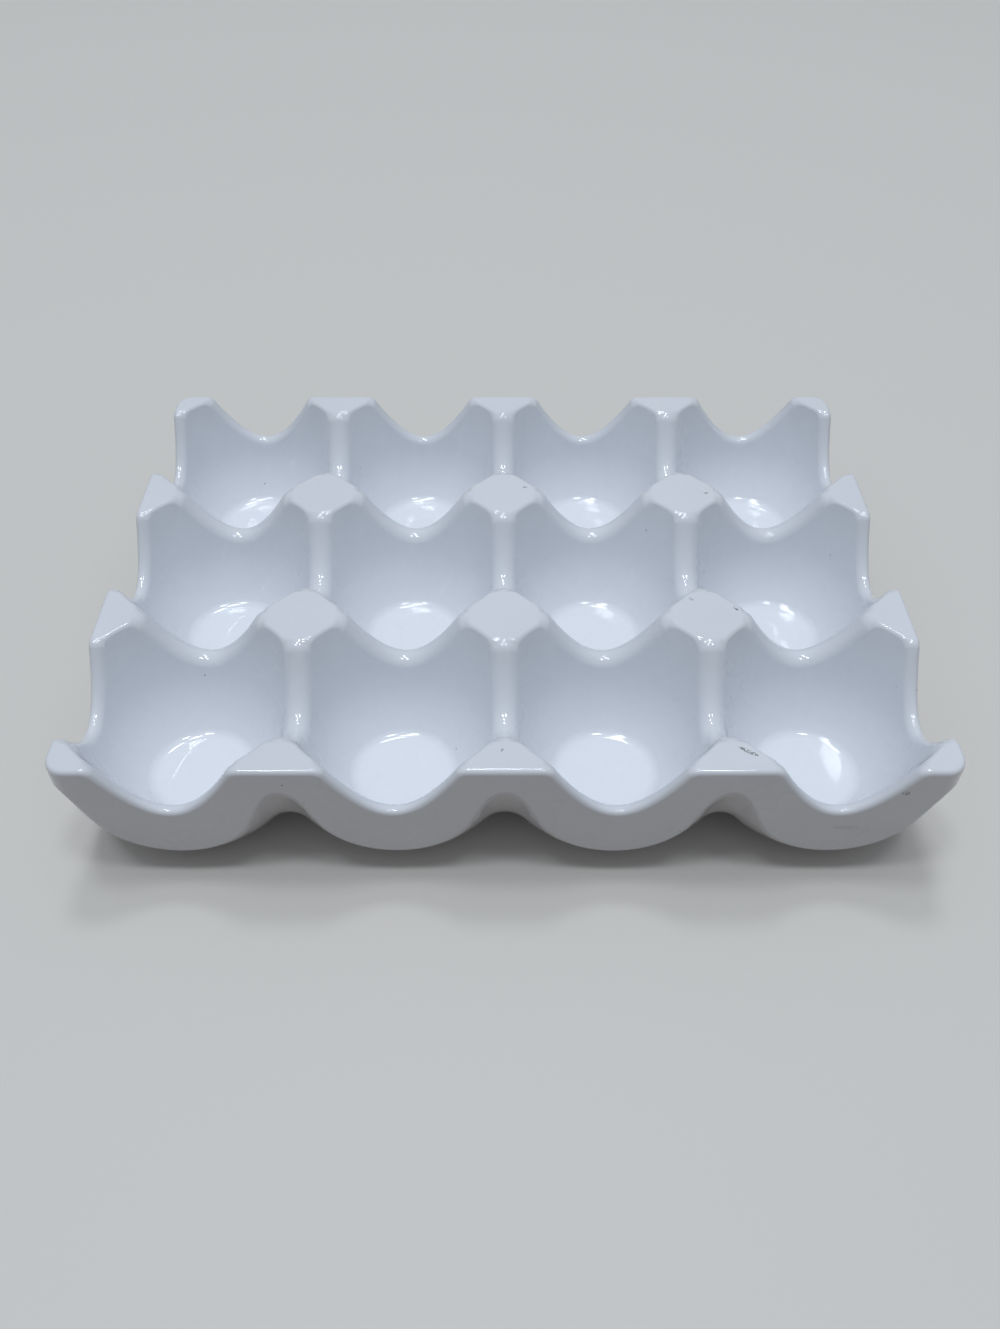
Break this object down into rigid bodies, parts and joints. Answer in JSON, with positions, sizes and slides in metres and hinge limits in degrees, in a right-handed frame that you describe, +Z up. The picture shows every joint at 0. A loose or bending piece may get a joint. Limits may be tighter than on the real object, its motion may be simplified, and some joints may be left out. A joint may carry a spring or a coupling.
{
  "type": "egg crate",
  "caption": "Rectangular glazed ceramic tray of round egg cups, joined by rounded ridges that dip between flat-topped posts, standing on small feet under the cups.",
  "frame": {"origin": "on the table, below the middle of the crate", "axes": "+Z up, out of the cups; +X along the crate's long side; +Y along its short side, away from the viewer"},
  "size_m": [0.2004, 0.1504, 0.038],
  "materials": {
    "fired_clay": "matte",
    "white_glaze": "gloss"
  },
  "bodies": {
    "root": {"clay_body": "fired_clay", "glaze_coat": "white_glaze"}
  },
  "joints": []
}
